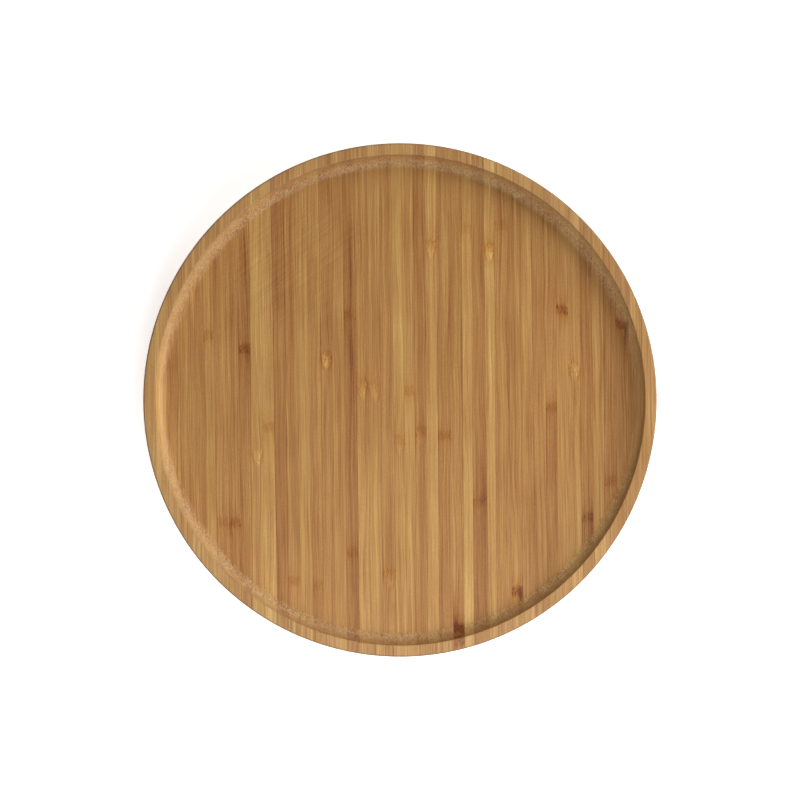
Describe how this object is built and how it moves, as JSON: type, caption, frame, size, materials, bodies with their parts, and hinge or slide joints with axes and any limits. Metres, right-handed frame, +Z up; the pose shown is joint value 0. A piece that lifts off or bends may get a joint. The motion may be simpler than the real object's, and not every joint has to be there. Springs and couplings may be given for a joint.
{
  "type": "lazy susan turntable",
  "caption": "Round bamboo lazy susan: a shallow rimmed tray that turns without limit on a caged ball bearing over a smaller, rubber-footed base disc.",
  "frame": {"origin": "centre of the base, on the table the feet stand on", "axes": "+Z up along the turning axis; the tray's bamboo strips run along Y, and the screwdriver hole in the base is on +X"},
  "size_m": [0.35, 0.35, 0.0406],
  "materials": {
    "bamboo": "oiled, satin",
    "galvanised_steel": "galvanised, dull",
    "bearing_steel": "polished",
    "zinc_screw": "zinc plated",
    "nylon": "moulded, satin",
    "rubber": "matt"
  },
  "bodies": {
    "base": {"base_disc": "bamboo", "lower_bearing_plate": "galvanised_steel", "base_screw_1": "zinc_screw", "base_screw_2": "zinc_screw", "base_screw_3": "zinc_screw", "base_screw_4": "zinc_screw", "rubber_foot_1": "rubber", "rubber_foot_2": "rubber", "rubber_foot_3": "rubber", "rubber_foot_4": "rubber", "foot_screw_1": "zinc_screw", "foot_screw_2": "zinc_screw", "foot_screw_3": "zinc_screw", "foot_screw_4": "zinc_screw"},
    "ball_ring": {"ball_cage": "nylon", "ball_01": "bearing_steel", "ball_02": "bearing_steel", "ball_03": "bearing_steel", "ball_04": "bearing_steel", "ball_05": "bearing_steel", "ball_06": "bearing_steel", "ball_07": "bearing_steel", "ball_08": "bearing_steel", "ball_09": "bearing_steel", "ball_10": "bearing_steel", "ball_11": "bearing_steel", "ball_12": "bearing_steel", "ball_13": "bearing_steel", "ball_14": "bearing_steel", "ball_15": "bearing_steel", "ball_16": "bearing_steel"},
    "tray": {"tray": "bamboo", "upper_bearing_plate": "galvanised_steel", "tray_screw_1": "zinc_screw", "tray_screw_2": "zinc_screw", "tray_screw_3": "zinc_screw", "tray_screw_4": "zinc_screw"}
  },
  "joints": [
    {"name": "tray_spin", "type": "hinge", "parent": "base", "child": "tray", "pos_m": [0, 0, 0.0194], "axis": [0, 0, 1], "continuous": true},
    {"name": "ball_ring_orbit", "type": "hinge", "parent": "base", "child": "ball_ring", "pos_m": [0, 0, 0.0194], "axis": [0, 0, 1], "continuous": true}
  ],
  "couplings": [
    {"joint": "ball_ring_orbit", "follows": "tray_spin", "ratio": 0.5}
  ]
}
